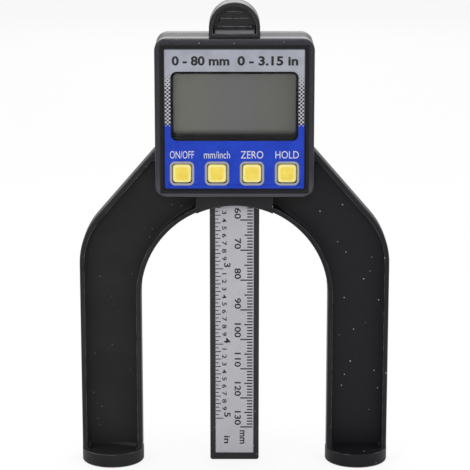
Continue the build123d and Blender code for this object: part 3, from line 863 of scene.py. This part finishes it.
sheet_edge = 0.07 * mm
collar_height = 0.15 * mm
sheet_face = sheet_low.y + collar_height
sheet_ink = sheet_face - ink_depth / 2 + ink_sink
collar_foot = sheet_face / mm - 0.02
collar_blend = 0.04
collar_grey = "#9a9ba0"
silvers = ("#989aa5", "#a6a8b3")
faded_silver = "#cfcfd4"
blues = ("#1437ad", "#1b3fb8")
dot_black = "#1d1d22"
edge_shade_black = "#121217"
pane_low, pane_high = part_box("window_pane")
blue_top = pane_low.z / mm + 5.5
blue_blend = 1.6
mesh_top = pane_high.z / mm + 1.0
mesh_full = pane_high.z / mm - 6.5
mesh_pitch = 1.2
dotless, mesh_gain, blue_gain = 2.1, 2.15, 2.6
dot_blend = 0.25
border_width = 0.4
border_blend = 0.1
border_side = sheet_high.x / mm - border_width
border_end = sheet_high.z / mm - face_middle - border_width

face_print = Finish("printed_face", {"Specular IOR Level": 0.18})
cloud = face_print.noise(5.0)
silver = face_print.mix(cloud.rise(0.25, 0.8), *silvers)
blue = face_print.mix(cloud.rise(0.3, 0.7), *blues)
lattice = ((face_print.x + face_print.z).wave(mesh_pitch)
           + (face_print.x - face_print.z).wave(mesh_pitch))
fade = 1 - face_print.z.rise(mesh_full, mesh_top)
below = 1 - face_print.z.rise(blue_top - blue_blend, blue_top)
level = dotless - fade * mesh_gain - below * blue_gain
dots = (lattice - level).rise(-dot_blend, dot_blend)
dark = face_print.mix(below.rise(0.0, 0.3), dot_black, blue)
light = face_print.mix(fade * (1 - below) * 0.5, silver, faded_silver)
# Painted shade: a dark band round the sheet's edge, where its recess shades it.
edge_shade = (abs(face_print.x).rise(border_side - border_blend, border_side + border_blend)
          + abs(face_print.z - face_middle).rise(border_end - border_blend, border_end + border_blend))
art = face_print.mix(edge_shade * 0.9, face_print.mix(dots, light, dark), edge_shade_black)
collar = 1 - face_print.y.rise(collar_foot - collar_blend, collar_foot)
face_print.give("Base Color", face_print.mix(collar, art, collar_grey))
face_print.give("Roughness", 0.36 + cloud * 0.12)
face_print.relief(face_print.noise(0.4), 0.004)

sheet = dressed("label_sheet", "face_sheet", sheet_edge)
face_print.cover(sheet)
fit(sheet, "root", "label_sheet")

pale_ink = Finish("pale_ink", {"Specular IOR Level": 0.3})
pale_ink.give("Base Color", pale_ink.mix(pale_ink.noise(0.7), "#bcbdc6", "#d8d8de"))
pale_ink.give("Roughness", 0.4 + pale_ink.noise(1.0) * 0.2)

legends = {"button_on_off": ("ON/OFF", 7.6 * mm), "button_unit": ("mm/inch", 8.2 * mm),
           "button_zero": ("ZERO", 7.1 * mm), "button_hold": ("HOLD", 7.4 * mm)}
legend_height = 2.4 * mm
legend_gap = 1.0 * mm
legend_weight = 0.0
legend_mesh = bmesh.new()
for key, (words, width) in legends.items():
    low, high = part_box(key)
    stamp(legend_mesh, words, Vector(((low.x + high.x) / 2, sheet_ink,
          high.z + legend_gap + legend_height / 2)), width, legend_height, weight=legend_weight)
legend = finished("key_legends", legend_mesh, pale_ink)
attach(legend, "root")

ranges = {"0 - 80 mm": {"x": -10.6 * mm, "width": 18.0 * mm},
          "0 - 3.15 in": {"x": 10.4 * mm, "width": 19.0 * mm}}
range_place = sheet_high.z - 3.9 * mm
range_height = 3.0 * mm
range_weight = 0.035
range_mesh = bmesh.new()
for words, size in ranges.items():
    stamp(range_mesh, words, Vector((size["x"], sheet_ink, range_place)), size["width"],
          range_height, weight=range_weight)
range_note = finished("range_note", range_mesh, dark_ink)
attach(range_note, "root")


# Window and display: a clear acrylic pane over a grey-green liquid-crystal glass that is off.
# A black foam frame shows between them, and two rubber strips carry the contacts to the board.

pane_black = (0.02, 0.02, 0.02, 1.0)
foam_blacks = ("#131314", "#1a1a1b")
crystal_lit_to_shaded_greens = ("#73746c", "#6a6b66")
crystal_middle = "#6c6d70"
crystal_shade = "#262724"
glass_left, glass_right = -18.0, 18.0
shade_low, shade_high = pane_low.z / mm + 1.2, pane_low.z / mm + 3.8
shade_left = (-20.2, -17.2)
shade_right = (13.0, 20.5)
middle_left = (-12.0, -1.0)
middle_right = (1.0, 12.0)
band_pitch = 0.5
band_greys = ("#8d8f94", "#2a2a2c")

clear = Finish("clear_acrylic", {"Base Color": pane_black, "IOR": 1.49})
clear.give("Roughness", 0.05 + clear.noise(12.0) * 0.01)
clear.give("Alpha", 0.08 + clear.noise(14.0) * 0.01)
clear.cover(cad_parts["window_pane"])

foam = moulded_black("black_foam", foam_blacks, grain=0.25, shine=0.1, roughness=0.7, dust=0.0)
foam.cover(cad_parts["display_gasket"])

crystal = Finish("crystal_glass", {"Specular IOR Level": 0.4})
# Painted shade: the crystal darkens toward its foot, its left and right edges and its right side, and
# a painted glow tints its middle bluish.
foot_shade = crystal.z.rise(shade_low, shade_high)
side_shade = crystal.x.rise(*shade_left) * (1 - crystal.x.rise(*shade_right) * 0.4)
middle_glow = crystal.x.rise(*middle_left) - crystal.x.rise(*middle_right)
field = crystal.mix(crystal.x.rise(glass_left, glass_right), *crystal_lit_to_shaded_greens)
field = crystal.mix(middle_glow * 0.6, field, crystal_middle)
lit = foot_shade * (0.5 + side_shade * 0.5)
crystal.give("Base Color", crystal.mix(lit, crystal_shade, field))
crystal.give("Roughness", 0.24 + crystal.noise(14.0) * 0.02)
crystal.cover(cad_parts["display_glass"])

rubber = Finish("banded_rubber", {"Specular IOR Level": 0.3})
bands = stripes(rubber.x, band_pitch, start=0.1, end=0.35, soft=0.05)
rubber.give("Base Color", rubber.mix(bands, *band_greys))
rubber.give("Roughness", 0.6 + bands * 0.15)
rubber.cover(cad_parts["zebra_strips"])


# Keys: four yellow moulded caps with softly crowned faces, each free to travel in its hole. A painted
# highlight pales the rounded rim of each cap.
# A flange behind the case keeps the cap in, and a round stem reaches its switch.

key_half = 3.0 * mm
key_round = 0.75 * mm
key_crown = 0.12 * mm
flange_thickness = 0.8 * mm
stem_radius = 1.6 * mm
stem_length = 0.6 * mm
stem_power = 2.0
key_power = 6.0
flange_power = 20.0
key_turn = math.radians(50)
ring_points = 56
round_steps = 6
crown_shares = (0.85, 0.65, 0.4, 0.15)
key_yellows = ("#e8cb4c", "#ecd65a")
rim_highlight_yellows = ("#ecdc82", "#f2e898")

key_yellow = Finish("yellow_key", {"Specular IOR Level": 0.35})
speckle = key_yellow.noise(0.6, 3.0)
warm = key_yellow.mix(key_yellow.noise(2.5).rise(0.3, 0.7), *key_yellows)
rim_highlight_tone = key_yellow.mix(speckle, *rim_highlight_yellows)
# Painted highlight: the cap is paler toward its rounded rim.
rim_highlight = key_yellow.attribute("rim").rise(0.7, 1.0)
key_yellow.give("Base Color", key_yellow.mix(rim_highlight, warm, rim_highlight_tone))
key_yellow.give("Roughness", 0.34 + speckle * 0.16)
key_yellow.relief(speckle, 0.01)


def key_rings(low, high):
    """The cap's rings from the stem's end to the middle of its face: half size, squareness, depth
    and how near the rim each is."""
    flange_half = (high.x - low.x) / 2
    flange_back = high.y - stem_length
    flange_front = flange_back - flange_thickness
    rings = [(stem_radius, stem_power, high.y, 0.0), (stem_radius, stem_power, flange_back, 0.0),
             (flange_half, flange_power, flange_back, 0.0),
             (flange_half, flange_power, flange_front, 0.0),
             (key_half, key_power, flange_front, 1.0)]
    for step in range(round_steps + 1):
        turn = math.radians(90) * step / round_steps
        rings.append((key_half - key_round * (1 - math.cos(turn)), key_power,
                      low.y + key_crown + key_round * (1 - math.sin(turn)), 1.0))
    for share in crown_shares:
        rings.append(((key_half - key_round) * share, key_power - 2 * (1 - share),
                      low.y + key_crown * share ** 2, share * (1 - key_round / key_half)))
    return rings


def make_key(node):
    """One cap, lofted through its rings."""
    low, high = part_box(node)
    middle = (low + high) / 2
    shape = bmesh.new()
    rim = shape.verts.layers.float.new("rim")
    loops = []
    for half, power, depth, nearness in key_rings(low, high):
        loop = []
        for point in range(ring_points):
            angle = math.tau * point / ring_points
            side, up = math.cos(angle), math.sin(angle)
            reach = half / (abs(side) ** power + abs(up) ** power) ** (1 / power)
            corner = shape.verts.new((middle.x + side * reach, depth, middle.z + up * reach))
            corner[rim] = nearness
            loop.append(corner)
        loops.append(loop)
    for back, front in zip(loops, loops[1:]):
        for point in range(ring_points):
            after = (point + 1) % ring_points
            shape.faces.new((back[point], back[after], front[after], front[point]))
    shape.faces.new(loops[0])
    shape.faces.new(loops[-1])
    bmesh.ops.recalc_face_normals(shape, faces=shape.faces)
    cap = finished("cap_" + node, shape, key_yellow)
    cap.data.shade_smooth()
    cap.data.set_sharp_from_angle(angle=key_turn)
    fit(cap, node, node)


for key in legends:
    make_key(key)


# Back case: the rear half of the head, moulded in black ABS with grooves for the battery cover.
# Four black zinc-plated screws with a coarse thread hold it on from behind.

rear_edge = 0.06 * mm
rear_blacks = ("#121116", "#1b1a20")
case_head = 1.3 * mm
coarse_pitch = 0.6 * mm

rear_black = moulded_black("black_rear", rear_blacks, grain=0.32, shine=0.4, roughness=0.28,
                           dust=0.7, wear_and_highlight=0.9, scuffs=0.08)
back_shell = dressed("back_case", "rear_case", rear_edge)
rear_black.cover(back_shell)
fit(back_shell, "root", "back_case")
drive("housing_screws", "root", black_zinc, case_head, coarse_pitch)


# Battery cover: a black ABS slide whose tongues run in grooves of the back case, with four
# grooves across it for the nail. A moulded arrow points the way it opens.

cover_edge = 0.08 * mm
cover_low, cover_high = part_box("battery_cover")
arrow_half = 1.7 * mm
arrow_length = 2.8 * mm
arrow_proud = 0.25 * mm
arrow_bevel = 0.18 * mm
arrow_start = cover_low.x + 3.6 * mm
arrow_middle = (cover_low.z + cover_high.z) / 2
arrow_corners = [(arrow_start, arrow_middle - arrow_half), (arrow_start, arrow_middle + arrow_half),
                 (arrow_start + arrow_length, arrow_middle)]

cover_black = moulded_black("black_cover", rear_blacks, grain=0.32, shine=0.4, roughness=0.26,
                            dust=0.7, wear_and_highlight=0.9, scuffs=0.08)
cover = dressed("battery_cover", "sliding_cover", cover_edge)
cover_black.cover(cover)
fit(cover, "battery_cover", "battery_cover")

arrow_shape = bmesh.new()
front, back = [[arrow_shape.verts.new((x, y, z)) for x, z in arrow_corners]
               for y in (cover_high.y - arrow_proud, cover_high.y + arrow_proud)]
arrow_shape.faces.new(front)
arrow_shape.faces.new(back)
for point in range(len(arrow_corners)):
    after = (point + 1) % len(arrow_corners)
    arrow_shape.faces.new((front[point], front[after], back[after], back[point]))
bmesh.ops.recalc_face_normals(arrow_shape, faces=arrow_shape.faces)
bmesh.ops.bevel(arrow_shape, geom=arrow_shape.edges[:], offset=arrow_bevel, offset_type="OFFSET",
                segments=1, profile=0.5, affect="EDGES")
arrow = finished("slide_arrow", arrow_shape, cover_black)
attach(arrow, "battery_cover")


# Lock: a fluted ABS knob on a zinc-plated M4 steel stud, which runs in a turned brass bush moulded
# into the back case and pushes a nylon pad against the rule.

knob_edge = 0.06 * mm
knob_blacks = ("#19191b", "#222224")
nylon_whites = ("#cfccc0", "#e0ddd2")
stud_pitch = 0.7 * mm
stud_low, stud_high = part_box("lock_stud")
stud_end = ((stud_low.x + stud_high.x) / 2, stud_low.y, (stud_low.z + stud_high.z) / 2)

brass = plated("turned_brass", "#c6a255", roughness=0.26, stretch=(1.0, 0.2, 1.0))
brass.cover(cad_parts["lock_insert"])

nylon = Finish("natural_nylon", {"Specular IOR Level": 0.4})
nylon.give("Base Color", nylon.mix(nylon.noise(1.2), *nylon_whites))
nylon.give("Roughness", 0.45 + nylon.noise(0.5) * 0.15)
nylon.cover(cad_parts["lock_pad"])

rod = Pattern("threaded_rod", {"Radius": "Float", "Thread Pitch": "Float", "Length": "Float"})
bar = threaded(rod, rod.size("Radius"), rod.size("Thread Pitch"), rod.size("Length"))
rod.end(rod.node("GeometryNodeInstanceOnPoints", {}, {
    "Points": rod.size("Places"), "Instance": bar, "Rotation": (math.radians(90), 0.0, 0.0)}))
stud = rod.grow("threaded_stud", [stud_end], {
    "Radius": (stud_high.x - stud_low.x) / 2, "Thread Pitch": stud_pitch,
    "Length": stud_high.y - stud_low.y}, zinc)
fit(stud, "lock_knob", "lock_stud")

knob = dressed("lock_knob", "lock_hand_knob", knob_edge)
knob_black = moulded_black("black_knob", knob_blacks, grain=0.4, shine=0.3, roughness=0.34,
                           dust=0.6)
knob_black.cover(knob)
fit(knob, "lock_knob", "lock_knob")
